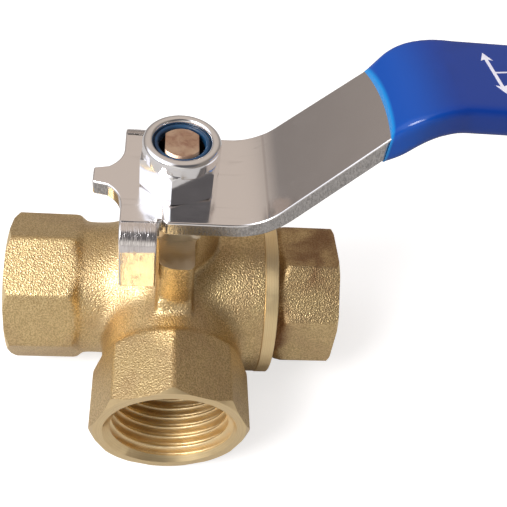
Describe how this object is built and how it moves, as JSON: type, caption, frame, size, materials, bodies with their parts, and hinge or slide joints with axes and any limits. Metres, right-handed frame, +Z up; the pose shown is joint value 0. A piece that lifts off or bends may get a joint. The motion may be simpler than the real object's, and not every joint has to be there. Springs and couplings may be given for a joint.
{
  "type": "three way valve",
  "caption": "Brass ball valve with a left port, a front port and a screwed end cap, turned by a cranked steel lever with a dipped grip.",
  "frame": {"origin": "centre of the ball, where the axes of the ports and of the stem cross; it is on the front port's axis", "axes": "+X out of the end cap, -Y out of the front port, +Z up the stem"},
  "size_m": [0.1231, 0.0434, 0.0662],
  "materials": {
    "cast_brass": "shot-blasted forging with turned faces",
    "stem_brass": "turned",
    "ball_plating": "polished plate",
    "lever_plating": "bright plate",
    "nut_plating": "bright plate",
    "washer_steel": "plain",
    "grip_coat": "dipped vinyl, glossy",
    "insert_nylon": "satin",
    "seal_plastic": "satin",
    "seal_rubber": "matte"
  },
  "bodies": {
    "body": {"valve_body": "cast_brass", "end_cap": "cast_brass", "cap_gasket": "seal_plastic", "seat_left": "seal_plastic", "seat_right": "seal_plastic", "seat_front": "seal_plastic", "seat_rear": "seal_plastic", "packing_lower": "seal_plastic", "packing_upper": "seal_plastic", "gland_follower": "washer_steel", "gland_nut": "stem_brass"},
    "handle": {"lever": "lever_plating", "grip": "grip_coat", "lock_nut": "nut_plating", "nylon_insert": "insert_nylon", "stem": "stem_brass", "thrust_washer": "seal_plastic", "stem_oring_lower": "seal_rubber", "stem_oring_upper": "seal_rubber", "ball": "ball_plating"}
  },
  "joints": [
    {"name": "lever_turn", "type": "hinge", "parent": "body", "child": "handle", "pos_m": [0, 0, 0], "axis": [0, 0, 1], "range_deg": [-180, 0]}
  ]
}
